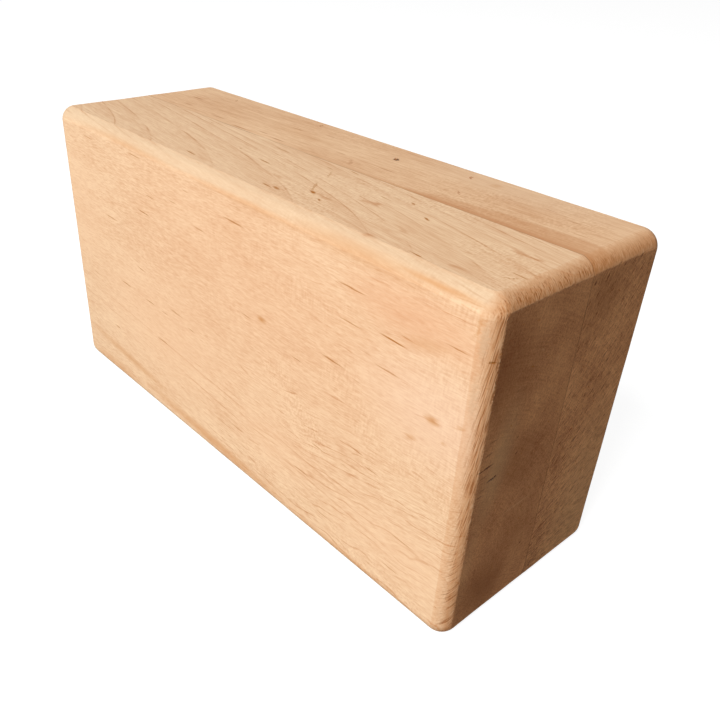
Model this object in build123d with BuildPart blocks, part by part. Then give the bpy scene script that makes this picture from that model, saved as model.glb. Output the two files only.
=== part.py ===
"""Solid wooden brick for floor exercise: two thick boards glued face to face, rounded over and sanded.

The brick stands on its long narrow side. X runs along the grain, Y from the front board to the
rear board, Z up. The origin is the centre of the face that it stands on.
"""

import os

from build123d import *

os.makedirs("parts", exist_ok=True)

# Finished sizes, in millimetres
brick_length = 230.0
brick_height = 118.0
front_board_thickness = 41.0
rear_board_thickness = 37.5

# Edge work: the cutter rounds every edge of the glued blank, and the wide faces are sanded after it,
# so the round stops short of each face in a fine straight arris
round_over_radius = 6.0
face_sanding = 0.2

# Sizes that follow from those
brick_depth = front_board_thickness + rear_board_thickness
glue_line = front_board_thickness - brick_depth / 2
blank_length = brick_length + 2 * face_sanding
blank_depth = brick_depth + 2 * face_sanding
blank_height = brick_height + 2 * face_sanding
glue_plane = Plane(origin=(0, glue_line, 0), x_dir=(1, 0, 0), z_dir=(0, 1, 0))

# The glued blank, rounded over on all its edges and then sanded to size on all its faces
with BuildPart() as brick:
    with BuildSketch(Plane.XY.offset(-face_sanding)):
        Rectangle(blank_length, blank_depth)
    extrude(amount=blank_height)
    fillet(brick.edges(), radius=round_over_radius)
    with BuildSketch(Plane.XY):
        Rectangle(brick_length, brick_depth)
    extrude(amount=brick_height, mode=Mode.INTERSECT)

# Front board: the brick up to the glue line
with BuildPart() as front_board:
    add(brick.part)
    split(bisect_by=glue_plane, keep=Keep.BOTTOM)
front_board.part.label = "front_board"
export_step(front_board.part, "parts/front_board.step")

# Rear board: the brick behind the glue line, a little thinner than the front one
with BuildPart() as rear_board:
    add(brick.part)
    split(bisect_by=glue_plane, keep=Keep.TOP)
rear_board.part.label = "rear_board"
export_step(rear_board.part, "parts/rear_board.step")
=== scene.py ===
# %% [markdown]
# # A wooden brick from two alder boards
# The real brick is two thick boards glued face to face, rounded over on every edge and sanded by
# hand. Its solids are already packed at their real size. This lesson loads them as a fixed frame,
# models both boards again with the small unevenness that hand work leaves, and fills them with wood
# that runs right through, so that the front, the top and the ends all show one and the same tree.

# %% Load the frame
import math

import bmesh
import bpy
from mathutils import Euler, Matrix, Vector


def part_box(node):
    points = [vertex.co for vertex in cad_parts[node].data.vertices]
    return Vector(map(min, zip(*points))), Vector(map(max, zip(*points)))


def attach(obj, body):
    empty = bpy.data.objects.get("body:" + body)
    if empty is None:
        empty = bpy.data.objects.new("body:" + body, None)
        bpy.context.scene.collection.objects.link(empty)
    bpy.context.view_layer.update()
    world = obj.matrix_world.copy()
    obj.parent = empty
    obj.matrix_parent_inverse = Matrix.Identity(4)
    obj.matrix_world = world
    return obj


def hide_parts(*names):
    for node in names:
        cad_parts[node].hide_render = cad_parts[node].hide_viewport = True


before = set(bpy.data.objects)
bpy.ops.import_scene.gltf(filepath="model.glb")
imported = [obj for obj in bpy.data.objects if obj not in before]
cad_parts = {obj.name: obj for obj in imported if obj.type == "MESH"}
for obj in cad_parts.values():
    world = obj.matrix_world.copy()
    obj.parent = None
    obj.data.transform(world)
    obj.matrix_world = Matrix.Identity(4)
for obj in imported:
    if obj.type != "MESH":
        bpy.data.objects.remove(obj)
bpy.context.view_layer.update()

# %% [markdown]
# ## Sizes
# Every place below is worked out from the two boards in the frame, so the lesson never moves or
# resizes them. Blender works in metres; wood is easier to think about in millimetres, so one value
# turns millimetres into metres.

# %% Sizes from the frame
MM = 0.001
brick_low, front_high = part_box("front_board")
brick_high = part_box("rear_board")[1]
brick_centre = (brick_low + brick_high) / 2
brick_size = brick_high - brick_low
glue_y = front_high.y
print("brick, mm:", [round(side / MM, 2) for side in brick_size])
print("glue line at y, mm:", round(glue_y / MM, 2))

# %% [markdown]
# ## The glued blank
# The maker glues the boards first and works the edges afterwards, so the brick is modelled whole and
# cut at the glue line at the end. A cube is added a little over size and all its edges are bevelled
# to the radius of the round-over cutter. A subdivision surface would also round the cube, but its
# corners swell and its faces stop being flat. The front face was sanded more lightly than the
# others, so less is added there.

# %% Round over a cube
ROUND_OVER = 6.0 * MM
ROUND_SEGMENTS = 16
ROUND_PROFILE = 0.5
FACE_SANDING = 0.2 * MM
FRONT_SANDING = 0.08 * MM

blank_low = brick_low - Vector((FACE_SANDING, FRONT_SANDING, FACE_SANDING))
blank_high = brick_high + Vector((FACE_SANDING, FACE_SANDING, FACE_SANDING))
bpy.ops.object.select_all(action="DESELECT")
bpy.ops.mesh.primitive_cube_add(
    size=1, location=(blank_low + blank_high) / 2, scale=blank_high - blank_low)
brick = bpy.context.object
brick.name = "glued_blank"
bpy.ops.object.transform_apply(location=True, rotation=True, scale=True)
bpy.ops.object.mode_set(mode="EDIT")
bpy.ops.mesh.select_all(action="SELECT")
bpy.ops.mesh.bevel(
    offset=ROUND_OVER, offset_type="OFFSET", segments=ROUND_SEGMENTS, profile=ROUND_PROFILE,
    affect="EDGES")
bpy.ops.object.mode_set(mode="OBJECT")
print("rounded blank:", len(brick.data.polygons), "faces")

# %% [markdown]
# ## Room for the edges to bend
# The bevel leaves each round as a few long strips from end to end. A strip can't waver, so all the
# faces are cut across every few millimetres. Subdividing would also do it, but it cuts the short
# sides of the strips as finely as the long ones. Bisect cuts just where it is told to.

# %% Cut the rounds across
CUT_STEP = 4.0 * MM
FINE = 0.001 * MM


def only(piece):
    """Makes one object the only selected one and the active one."""
    bpy.ops.object.select_all(action="DESELECT")
    piece.select_set(True)
    bpy.context.view_layer.objects.active = piece


only(brick)
bpy.ops.object.mode_set(mode="EDIT")
for axis in range(3):
    normal = Vector((0, 0, 0))
    normal[axis] = 1
    reach = brick_size[axis] / 2 - ROUND_OVER
    cuts = int(2 * reach / CUT_STEP)
    for cut in range(cuts + 1):
        place = brick_centre.copy()
        place[axis] += -reach + 2 * reach * cut / cuts
        bpy.ops.mesh.select_all(action="SELECT")
        bpy.ops.mesh.bisect(plane_co=place, plane_no=normal, threshold=FINE)
bpy.ops.object.mode_set(mode="OBJECT")
print("rounds cut across:", len(brick.data.polygons), "faces")

# %% [markdown]
# ## Hand work on the edges
# A hand-held sander never follows an edge perfectly: the round is a little fuller here and a little
# leaner there. Moving points one by one would take a day. A Displace modifier with a soft cloud
# pattern moves the surface in and out by about a tenth of a millimetre instead. A vertex group keeps
# the wander small along the long front and rear edges, which a long sander follows more easily.

# %% Let the rounds wander
WANDER_SIZE = 16.0 * MM
WANDER_DEPTH = 0.3 * MM
LONG_EDGE_WANDER = 0.25

hand_work = brick.vertex_groups.new(name="hand_work")
for corner in brick.data.vertices:
    inside = min(corner.co.y - brick_low.y, brick_high.y - corner.co.y) / ROUND_OVER
    hand_work.add([corner.index], min(1.0, max(LONG_EDGE_WANDER, inside)), "REPLACE")
wander = bpy.data.textures.new("sander_wander", "CLOUDS")
wander.noise_scale = WANDER_SIZE
sander = brick.modifiers.new("sander_wander", "DISPLACE")
sander.texture = wander
sander.texture_coords = "LOCAL"
sander.vertex_group = hand_work.name
sander.mid_level = 0.5
sander.strength = WANDER_DEPTH
bpy.ops.object.modifier_apply(modifier=sander.name)
print("wandering blank, mm:", [round(side / MM, 3) for side in brick.dimensions])

# %% [markdown]
# ## Sanding the faces flat
# The six faces go over a flat belt last. That cuts the rounds off a little before they meet the
# face, and leaves the fine wavering line, the arris, that the eye sees along every edge. Bisect with
# its outer side cleared and the hole filled does just what the belt does.

# %% Sand six faces to size
only(brick)
bpy.ops.object.mode_set(mode="EDIT")
for axis in range(3):
    for corner, side in ((brick_low, -1), (brick_high, 1)):
        normal = Vector((0, 0, 0))
        normal[axis] = side
        bpy.ops.mesh.select_all(action="SELECT")
        bpy.ops.mesh.bisect(
            plane_co=corner, plane_no=normal, use_fill=True, clear_outer=True, threshold=FINE)
bpy.ops.object.mode_set(mode="OBJECT")
print("sanded brick, mm:", [round(side / MM, 3) for side in brick.dimensions])

# %% [markdown]
# ## Nick, gouges and pin knot
# Use has left a few small hollows: a nick across the front end edge and two gouges in the end. A
# fourth, the empty pin knot on top, grew there. Each is a stretched ball taken away with a Boolean
# modifier. A bump map could darken them, but only a real hollow breaks the arris.

# %% Cut the hollows
BALL_SEGMENTS = 24
BALL_RINGS = 14
# Each hollow has its place and half sizes in millimetres, and its turn in degrees.
hollows = {
    "nick_across_edge": ((114.6, -37.0, 100.8), (1.9, 0.7, 0.3), (0, 4, 58)),
    "end_gouge": ((115.1, -28.6, 60.7), (0.45, 1.9, 0.32), (4, 0, 0)),
    "end_gouge_faint": ((115.15, -31.4, 66.3), (0.3, 2.0, 0.18), (3, 0, 0)),
    "pin_knot": ((21.2, 23.2, 118.2), (1.25, 0.75, 0.8), (0, 0, -50)),
}
for name, (place, half_sizes, turn) in hollows.items():
    bpy.ops.object.select_all(action="DESELECT")
    bpy.ops.mesh.primitive_uv_sphere_add(
        segments=BALL_SEGMENTS, ring_count=BALL_RINGS, radius=1,
        location=[side * MM for side in place],
        rotation=[math.radians(angle) for angle in turn],
        scale=[side * MM for side in half_sizes])
    ball = bpy.context.object
    bpy.ops.object.transform_apply(location=True, rotation=True, scale=True)
    only(brick)
    cutter = brick.modifiers.new(name, "BOOLEAN")
    cutter.operation = "DIFFERENCE"
    cutter.solver = "EXACT"
    cutter.object = ball
    bpy.ops.object.modifier_apply(modifier=cutter.name)
    bpy.data.objects.remove(ball)
print("hollows cut:", len(hollows), "faces:", len(brick.data.polygons))

# %% [markdown]
# ## Two boards from one brick
# The brick is copied, and each copy keeps its own side of the glue line. Two boxes rounded one by one
# would never meet flush. This way both boards share the same wandering edge, which runs on across the
# joint as it does on the real brick. The rounds are shaded smooth, and the rims of the flat faces are
# marked sharp so that the flats stay flat.

# %% Cut the brick at the glue line
SMOOTH_ANGLE = math.radians(30)
# The facets of the rounds are all under 3 square millimetres, so a larger face is a flat one.
FLAT_AREA = 4 * MM * MM


def board_from_brick(name, side):
    """Copies the brick and keeps one side of the glue line: -1 for the front, 1 for the rear."""
    only(brick)
    bpy.ops.object.duplicate()
    board = bpy.context.object
    board.name = name
    board.data.name = name
    bpy.ops.object.mode_set(mode="EDIT")
    bpy.ops.mesh.select_all(action="SELECT")
    bpy.ops.mesh.bisect(
        plane_co=(0, glue_y, 0), plane_no=(0, -side, 0), use_fill=True, clear_outer=True,
        threshold=FINE)
    bpy.ops.object.mode_set(mode="OBJECT")
    bpy.ops.object.shade_smooth_by_angle(angle=SMOOTH_ANGLE)
    bpy.ops.object.mode_set(mode="EDIT")
    bpy.ops.mesh.select_mode(type="FACE")
    bpy.ops.mesh.select_all(action="DESELECT")
    mesh = bmesh.from_edit_mesh(board.data)
    for face in mesh.faces:
        face.select_set(face.calc_area() > FLAT_AREA)
    bmesh.update_edit_mesh(board.data)
    bpy.ops.mesh.region_to_loop()
    bpy.ops.mesh.mark_sharp()
    bpy.ops.mesh.select_mode(type="VERT")
    bpy.ops.object.mode_set(mode="OBJECT")
    print(name, "has", len(board.data.polygons), "faces")
    return board


front_board = board_from_brick("front_board_wood", -1)
rear_board = board_from_brick("rear_board_wood", 1)
bpy.data.objects.remove(brick)

# %% [markdown]
# ## Helpers for materials
# Colours are written as the hex values that a colour picker shows, which are sRGB, and turned into
# the linear values that the renderer adds up. One function adds a node with its settings and links.
# Nodes could be dragged together by hand, but the alder needs hundreds of them.

# %% Colour and node helpers
def linear(code):
    """Turns an sRGB hex colour into linear red, green, blue and alpha."""
    channels = [int(code[place:place + 2], 16) / 255 for place in (1, 3, 5)]
    return [c / 12.92 if c <= 0.04045 else ((c + 0.055) / 1.055) ** 2.4 for c in channels] + [1.0]


def add(tree, kind, links=None, **settings):
    """Adds a node. Settings are its properties; links give its inputs values or other outputs."""
    node = tree.nodes.new(kind)
    for setting, value in settings.items():
        setattr(node, setting, value)
    for socket, source in (links or {}).items():
        if isinstance(source, bpy.types.Node):
            source = source.outputs[0]
        if isinstance(source, bpy.types.NodeSocket):
            tree.links.new(source, node.inputs[socket])
        else:
            node.inputs[socket].default_value = source
    return node


print("a pale tan in linear light:", [round(c, 3) for c in linear("#E6BE96")])

# %% [markdown]
# ## Round the pith
# Wood is a stack of cones around a pith. Each board was sawn from its own place beside a pith, so
# the first step gives every point its place along that pith line, out from it and round it. On the
# front board the pith lies just outside the front face and leans a little, which is why the front
# shows fine straight lines and the top shows long sloping loops. Lines drawn on each face by itself
# would not meet at the edges; lines worked out from the pith do.

# %% Coordinates round the pith
def per_mm(along, deep, high):
    """The scale of a pattern whose features are this many millimetres long in X, Y and Z."""
    return 1 / along, 1 / deep, 1 / high


def round_the_pith(tree, board, place, swayed):
    """Grain coordinates, the distance from the pith, and how squarely the surface faces it."""
    pith = add(tree, "ShaderNodeMapping", {
        "Vector": swayed, "Location": board["pith"], "Rotation": board["lean"]},
        vector_type="TEXTURE")
    across = add(tree, "ShaderNodeVectorMath", {0: pith, 1: (0, 1, 1)}, operation="MULTIPLY")
    radius = add(tree, "ShaderNodeVectorMath", {0: across}, operation="LENGTH").outputs["Value"]
    outward = add(tree, "ShaderNodeVectorMath", {0: across}, operation="NORMALIZE")
    faced = add(tree, "ShaderNodeVectorMath", {
        0: outward, 1: place.outputs["Normal"]}, operation="DOT_PRODUCT").outputs["Value"]
    turned = add(tree, "ShaderNodeSeparateXYZ", {0: pith})
    angle = add(tree, "ShaderNodeMath", {
        0: turned.outputs["Y"], 1: turned.outputs["Z"]}, operation="ARCTAN2")
    arc = add(tree, "ShaderNodeMath", {0: angle, 1: board["arc_radius"]}, operation="MULTIPLY")
    polar = add(tree, "ShaderNodeCombineXYZ", {"X": turned.outputs["X"], "Y": radius, "Z": arc})
    return polar.outputs[0], radius, faced


print("features of 50, 2 and 0.5 mm have the scale", per_mm(50, 2, 0.5))

# %% [markdown]
# ## Fibres that drift and fan
# In the front board the fibres drift towards the front face, and near its right end they fan out. A
# bent pattern could be painted there, but it is simpler to bend the coordinates: where they are
# pushed up or down, every pattern that reads them follows.

# %% Bent fibres
# Turns a straight ramp into one that starts and ends softly.
SOFT = {"interpolation_type": "SMOOTHSTEP", "clamp": False}


def bent_fibres(tree, board, xyz, swayed):
    """Millimetres in which the drifting and fanning fibres run straight."""
    spread = add(tree, "ShaderNodeMapRange", {
        "Value": xyz.outputs["X"], "From Min": board["fan_from"], "From Max": board["fan_to"],
        "To Min": 0.0, "To Max": board["fan_mm"]}, **SOFT)
    side = add(tree, "ShaderNodeMapRange", {
        "Value": xyz.outputs["Z"], "From Min": board["fan_low"], "From Max": board["fan_high"],
        "To Min": 1.0, "To Max": -1.0}, **SOFT)
    fading = add(tree, "ShaderNodeMapRange", {
        "Value": xyz.outputs["Z"], "From Min": board["fan_high"], "From Max": board["fan_top"],
        "To Min": 1.0, "To Max": 0.0}, **SOFT)
    lift = add(tree, "ShaderNodeMath", {0: spread, 1: side}, operation="MULTIPLY")
    lift = add(tree, "ShaderNodeMath", {0: lift, 1: fading}, operation="MULTIPLY")
    drift = add(tree, "ShaderNodeMath", {
        0: xyz.outputs["X"], 1: board["drift"]}, operation="MULTIPLY")
    fan = add(tree, "ShaderNodeCombineXYZ", {"Y": drift, "Z": lift})
    return add(tree, "ShaderNodeVectorMath", {0: swayed, 1: fan}, operation="ADD").outputs[0]


print("a soft ramp uses", SOFT["interpolation_type"])

# %% [markdown]
# ## All the coordinates of a board
# Object coordinates stay with the piece however it is turned, so they are the start. They are turned
# into millimetres, and a slow noise sways them a little, as the grain does in every real tree. The
# way that the surface faces is kept too, because the ends look different from the sides.

# %% Grain coordinates
SWAY_SIZE = (60, 26, 26)
HALF_DOWN = (-0.5, -0.5, -0.5)


def grain_space(tree, board):
    """Adds the nodes for millimetres and grain coordinates, and returns their outputs by name."""
    place = add(tree, "ShaderNodeTexCoord")
    mm = add(tree, "ShaderNodeVectorMath", {
        0: place.outputs["Object"], "Scale": 1 / MM}, operation="SCALE")
    xyz = add(tree, "ShaderNodeSeparateXYZ", {0: mm})
    slow = add(tree, "ShaderNodeVectorMath", {0: mm, 1: per_mm(*SWAY_SIZE)}, operation="MULTIPLY")
    sway = add(tree, "ShaderNodeTexNoise", {"Vector": slow, "Scale": 1.0, "Detail": 2.0})
    centred = add(tree, "ShaderNodeVectorMath", {
        0: sway.outputs["Color"], 1: HALF_DOWN}, operation="ADD")
    swayed = add(tree, "ShaderNodeVectorMath", {
        0: centred, 1: (0, board["sway_mm"], board["sway_mm"]), 2: mm}, operation="MULTIPLY_ADD")
    polar, radius, faced = round_the_pith(tree, board, place, swayed)
    bent = bent_fibres(tree, board, xyz, swayed)
    facing = add(tree, "ShaderNodeVectorMath", {
        0: place.outputs["Normal"]}, operation="ABSOLUTE")
    facing = add(tree, "ShaderNodeSeparateXYZ", {0: facing})
    return {
        "mm": mm.outputs[0], "bent": bent, "polar": polar, "radius": radius, "faced": faced,
        "x": xyz.outputs["X"], "y": xyz.outputs["Y"], "z": xyz.outputs["Z"],
        "endwise": facing.outputs["X"], "upward": facing.outputs["Z"]}


print("the grain sways over about", SWAY_SIZE[0], "mm along and", SWAY_SIZE[1], "mm across")

# %% [markdown]
# ## Streaks and layers
# Most of what the eye sees in wood is streaks of different lengths, one over the other. An image of
# wood would bring them all at once, but it has its own seams and its own size. Here each kind of
# streak is a noise, stretched to its real size in millimetres and swinging about zero, and one small
# function adds them up by weight.

# %% Streaks and their sum
def streaks(tree, vector, size, detail):
    """A noise stretched to features of this size, moved so that it swings about zero."""
    stretched = add(tree, "ShaderNodeVectorMath", {0: vector, 1: per_mm(*size)},
                    operation="MULTIPLY")
    noise = add(tree, "ShaderNodeTexNoise", {"Vector": stretched, "Scale": 1.0, "Detail": detail})
    return add(tree, "ShaderNodeMath", {0: noise, 1: 0.5}, operation="SUBTRACT")


def weighed(tree, start, layers):
    """Adds layers to a starting value, each multiplied by its weight."""
    total = start
    for layer, weight in layers:
        total = add(tree, "ShaderNodeMath", {0: layer, 1: weight, 2: total},
                    operation="MULTIPLY_ADD")
    return total


print("a fibre streak 5 mm long and 0.4 mm thick has the scale", per_mm(5.0, 0.4, 0.4))

# %% [markdown]
# ## Year rings
# A fine darker line closes each year's growth. No two years grow alike, so evenly spaced rings would
# look drawn. A Float Curve turns the distance from the pith into years of their own widths. A ring
# shows where the saw cut it nearly flat, as on the top, and its line is wider where it is cut at a
# slant.

# %% Rings that darken and close
LATE_FROM = 0.3
RING_PATCH_SIZE = (22, 6, 6)
FAINTEST_LINE = 0.1
# A hair over one, so that the square root never meets a negative number.
JUST_OVER_ONE = 1.002


def years_grown(tree, space, edges):
    """How many years lie between the innermost ring edge and each place."""
    years = len(edges) - 1
    spot = add(tree, "ShaderNodeMapRange", {
        "Value": space["radius"], "From Min": edges[0], "From Max": edges[-1]}, clamp=False)
    growth = add(tree, "ShaderNodeFloatCurve", {"Value": spot})
    points = growth.mapping.curves[0].points
    for year, edge in enumerate(edges[1:-1], 1):
        points.new((edge - edges[0]) / (edges[-1] - edges[0]), year / years)
    for point in points:
        point.handle_type = "VECTOR"
    growth.mapping.update()
    return add(tree, "ShaderNodeMath", {0: growth, 1: years}, operation="MULTIPLY")


def year_rings(tree, space, board):
    """How dark the rings are: each year darkens, closes with a fine line and starts pale again."""
    edges = board["ring_edges"]
    mean_year = (edges[-1] - edges[0]) / (len(edges) - 1)
    age = years_grown(tree, space, edges)
    part = add(tree, "ShaderNodeMath", {0: age}, operation="FRACT")
    late = add(tree, "ShaderNodeMapRange", {
        "Value": part, "From Min": LATE_FROM, "From Max": 1.0,
        "To Min": 0.0, "To Max": board["late_tone"]}, **SOFT)
    flatness = add(tree, "ShaderNodeMath", {
        0: space["faced"], 1: space["faced"]}, operation="MULTIPLY")
    steepness = add(tree, "ShaderNodeMath", {0: JUST_OVER_ONE, 1: flatness}, operation="SUBTRACT")
    slant = add(tree, "ShaderNodeMath", {0: steepness}, operation="SQRT")
    width = add(tree, "ShaderNodeMath", {
        0: slant, 1: board["line_mm"] / mean_year}, operation="MULTIPLY")
    off_line = add(tree, "ShaderNodeMath", {0: age, 1: 0.5}, operation="PINGPONG")
    line = add(tree, "ShaderNodeMapRange", {
        "Value": off_line, "From Min": 0.0, "From Max": width, "To Min": 1.0, "To Max": 0.0}, **SOFT)
    come_and_go = add(tree, "ShaderNodeMapRange", {
        "Value": streaks(tree, space["mm"], RING_PATCH_SIZE, 1.0), "From Min": -0.1, "From Max": 0.15,
        "To Min": FAINTEST_LINE * board["line_tone"], "To Max": board["line_tone"]})
    rings = add(tree, "ShaderNodeMath", {0: line, 1: come_and_go, 2: late}, operation="MULTIPLY_ADD")
    cut_flat = add(tree, "ShaderNodeMapRange", {
        "Value": flatness, "From Min": 0.1, "From Max": 0.5})
    return add(tree, "ShaderNodeMath", {0: rings, 1: cut_flat}, operation="MULTIPLY")


print("a year starts to darken after", LATE_FROM, "of its growth")

# %% [markdown]
# ## Hair lines and ray flecks
# Low on the front, long thin vessel lines run a few millimetres apart, and where the saw ran along
# the rays the face looks woven with small upright ticks. Noise alone gives no lines that keep their
# distance, so a ping-pong of the height draws them, a waver bends them and a patchy noise lets them
# come and go. Both kinds grow stronger towards the right-hand end.

# %% Hair lines and ray ticks
HAIR_WAVER_SIZE = (26, 9, 7)
HAIR_WAVER_ROWS = 3.0
HAIR_WIDTH = 0.11
HAIR_PATCH_SIZE = (16, 6, 2.5)
RAY_SIZE = (0.8, 3.5, 0.6)
RAY_PATCH_SIZE = (30, 20, 22)


def hair_lines(tree, space, board):
    """Long thin wavering lines that follow the bent grain and show in patches."""
    height = add(tree, "ShaderNodeSeparateXYZ", {0: space["bent"]}).outputs["Z"]
    waver = streaks(tree, space["bent"], HAIR_WAVER_SIZE, 2.0)
    rows = add(tree, "ShaderNodeMath", {0: height, 1: 1 / board["hair_mm"]}, operation="MULTIPLY")
    rows = add(tree, "ShaderNodeMath", {
        0: waver, 1: HAIR_WAVER_ROWS, 2: rows}, operation="MULTIPLY_ADD")
    off_line = add(tree, "ShaderNodeMath", {0: rows, 1: 0.5}, operation="PINGPONG")
    line = add(tree, "ShaderNodeMapRange", {
        "Value": off_line, "From Min": 0.0, "From Max": HAIR_WIDTH,
        "To Min": 1.0, "To Max": 0.0}, **SOFT)
    patch = streaks(tree, space["bent"], HAIR_PATCH_SIZE, 1.0)
    rightward = add(tree, "ShaderNodeMapRange", {
        "Value": space["x"], "From Min": -60.0, "From Max": 60.0, "To Min": -0.16, "To Max": 0.08})
    low_down = add(tree, "ShaderNodeMapRange", {
        "Value": space["z"], "From Min": 46.0, "From Max": 66.0, "To Min": 0.0, "To Max": -0.16})
    where = add(tree, "ShaderNodeMath", {0: patch, 1: rightward}, operation="ADD")
    where = add(tree, "ShaderNodeMath", {0: where, 1: low_down}, operation="ADD")
    showing = add(tree, "ShaderNodeMapRange", {
        "Value": where, "From Min": -0.02, "From Max": 0.16}, **SOFT)
    return add(tree, "ShaderNodeMath", {0: line, 1: showing}, operation="MULTIPLY")


def ray_ticks(tree, space):
    """Small upright ticks in patches."""
    ticks = streaks(tree, space["polar"], RAY_SIZE, 1.0)
    patch = streaks(tree, space["mm"], RAY_PATCH_SIZE, 1.0)
    showing = add(tree, "ShaderNodeMapRange", {
        "Value": patch, "From Min": -0.1, "From Max": 0.2}, **SOFT)
    rightward = add(tree, "ShaderNodeMapRange", {
        "Value": space["x"], "From Min": -40.0, "From Max": 50.0, "To Min": 0.35, "To Max": 1.1})
    showing = add(tree, "ShaderNodeMath", {0: showing, 1: rightward}, operation="MULTIPLY")
    return add(tree, "ShaderNodeMath", {0: ticks, 1: showing}, operation="MULTIPLY")


print("ray ticks are", RAY_SIZE[0], "mm wide, in patches of about", RAY_PATCH_SIZE[0], "mm")

# %% [markdown]
# ## Tone
# Alder is a quiet wood. Fine fibres run along the board, and broad soft clouds of tone drift across
# it. Each layer is a number near zero, and they are added up to one tone that later picks a colour
# between the board's pale and deep tan. Mixing a colour for each layer would work too, but one tone
# keeps every layer in the same two colours, as in the real wood.

# %% Fibres and clouds of tone
# Real fibres are about a millimetre long and a fiftieth of a millimetre thick. They are drawn as
# bundles, since single ones are too fine to show.
FIBRE_SIZE = (5.0, 0.4, 0.36)
VESSEL_SIZE = (16, 0.75, 0.7)
GRAIN_SIZE = (40, 1.3, 1.2)
BAND_SIZE = (80, 6, 5)
CLOUD_SIZE = (32, 20, 14)


def tone(tree, space, board):
    """Adds the layers up to one tone: 0 is the board's palest tan and 1 its deepest."""
    lines = weighed(tree, 0.0, (
        (streaks(tree, space["bent"], FIBRE_SIZE, 2.0), board["fibre_tone"]),
        (streaks(tree, space["bent"], VESSEL_SIZE, 2.0), board["vessel_tone"]),
        (streaks(tree, space["bent"], GRAIN_SIZE, 2.0), board["grain_tone"]),
    ))
    calm = add(tree, "ShaderNodeMapRange", {
        "Value": space["upward"], "To Min": 1.0, "To Max": board["top_share"]})
    lines = add(tree, "ShaderNodeMath", {0: lines, 1: calm}, operation="MULTIPLY")
    return weighed(tree, board["mean_tone"], (
        (lines, 1.0),
        (streaks(tree, space["bent"], BAND_SIZE, 2.0), board["band_tone"]),
        (streaks(tree, space["mm"], CLOUD_SIZE, 2.0), board["cloud_tone"]),
        (ray_ticks(tree, space), board["ray_tone"]),
        (hair_lines(tree, space, board), board["hair_tone"]),
        (year_rings(tree, space, board), 1.0),
    ))


print("fibre bundles are", FIBRE_SIZE[0], "mm long, clouds of tone", CLOUD_SIZE[0], "mm")

# %% [markdown]
# ## Pith flecks
# The short brown dashes are pith flecks, the healed tunnels of a tiny larva. They run along the
# grain, thin across the rings and a little wider round them. A Voronoi pattern in grain coordinates
# gives each one its own cell, so a fleck is a dash on the front, a wider mark on the top and a short
# tick on the ends. A noise cut off at a level would give specks too, but of one kind only.

# %% Scattered pith flecks
FLECK_REACH = (0.05, 0.15)
FLECK_STRENGTH = (0.15, 0.85)
FLECK_CORE = 0.3


def flecks(tree, space, board):
    """Scattered dashes, each with its own length and strength."""
    stretched = add(tree, "ShaderNodeVectorMath", {
        0: space["polar"], 1: per_mm(*board["fleck_cell"])}, operation="MULTIPLY")
    cells = add(tree, "ShaderNodeTexVoronoi", {"Vector": stretched, "Scale": 1.0}, feature="F1")
    chance = add(tree, "ShaderNodeSeparateColor", {0: cells.outputs["Color"]})
    reach = add(tree, "ShaderNodeMapRange", {
        "Value": chance.outputs["Green"], "To Min": FLECK_REACH[0], "To Max": FLECK_REACH[1]})
    nearness = add(tree, "ShaderNodeMath", {
        0: cells.outputs["Distance"], 1: reach}, operation="DIVIDE")
    dash = add(tree, "ShaderNodeMapRange", {
        "Value": nearness, "From Min": FLECK_CORE, "From Max": 1.0,
        "To Min": 1.0, "To Max": 0.0}, **SOFT)
    bare = 1 - board["fleck_share"]
    there = add(tree, "ShaderNodeMath", {
        0: chance.outputs["Red"], 1: bare}, operation="GREATER_THAN")
    strength = add(tree, "ShaderNodeMapRange", {
        "Value": chance.outputs["Red"], "From Min": bare, "From Max": 1.0,
        "To Min": FLECK_STRENGTH[0], "To Max": FLECK_STRENGTH[1]})
    shown = add(tree, "ShaderNodeMath", {0: strength, 1: there}, operation="MULTIPLY")
    return add(tree, "ShaderNodeMath", {0: dash, 1: shown}, operation="MULTIPLY")


print("a fleck fills", FLECK_REACH[0], "to", FLECK_REACH[1], "of the way to the rim of its cell")

# %% [markdown]
# ## The marks that make it this brick
# Some marks are large enough to be remembered: the boldest dashes, a few brown blotches, a dark
# streak along the lower front edge that is partly painted shade, ticks in the end and a darker wedge
# of dense wood beside the glue line. Painting them on a texture would tie them to one face. Here each
# is an ellipsoid in the wood, so it shows on every face that cuts it. A little noise frays its rim.

# %% Large marks
FRAY_SIZE = (4, 0.6, 0.6)
FRAY_REACH = (3.0, 0.4, 0.4)
USUAL_SWING = 0.25


def frayed_space(tree, space):
    """Millimetres with a little noise added, longer along the grain."""
    fraying = add(tree, "ShaderNodeVectorMath", {
        0: space["mm"], 1: per_mm(*FRAY_SIZE)}, operation="MULTIPLY")
    noise = add(tree, "ShaderNodeTexNoise", {"Vector": fraying, "Scale": 1.0, "Detail": 1.0})
    centred = add(tree, "ShaderNodeVectorMath", {
        0: noise.outputs["Color"], 1: HALF_DOWN}, operation="ADD")
    return add(tree, "ShaderNodeVectorMath", {
        0: centred, 1: FRAY_REACH, 2: space["mm"]}, operation="MULTIPLY_ADD")


def blotches(tree, space, table, soft):
    """The strongest of the large marks: each is a place, half sizes, a turn and a strength."""
    frayed = frayed_space(tree, space)
    strongest = 0.0
    for place, half_sizes, turn, strength in table:
        own = add(tree, "ShaderNodeMapping", {
            "Vector": frayed, "Location": place,
            "Rotation": [math.radians(angle) for angle in turn], "Scale": half_sizes},
            vector_type="TEXTURE")
        off = add(tree, "ShaderNodeVectorMath", {0: own}, operation="LENGTH").outputs["Value"]
        mark = add(tree, "ShaderNodeMapRange", {
            "Value": off, "From Min": soft, "From Max": 1.0,
            "To Min": strength, "To Max": 0.0}, **SOFT)
        strongest = add(tree, "ShaderNodeMath", {0: mark, 1: strongest}, operation="MAXIMUM")
    return strongest.outputs[0]


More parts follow.
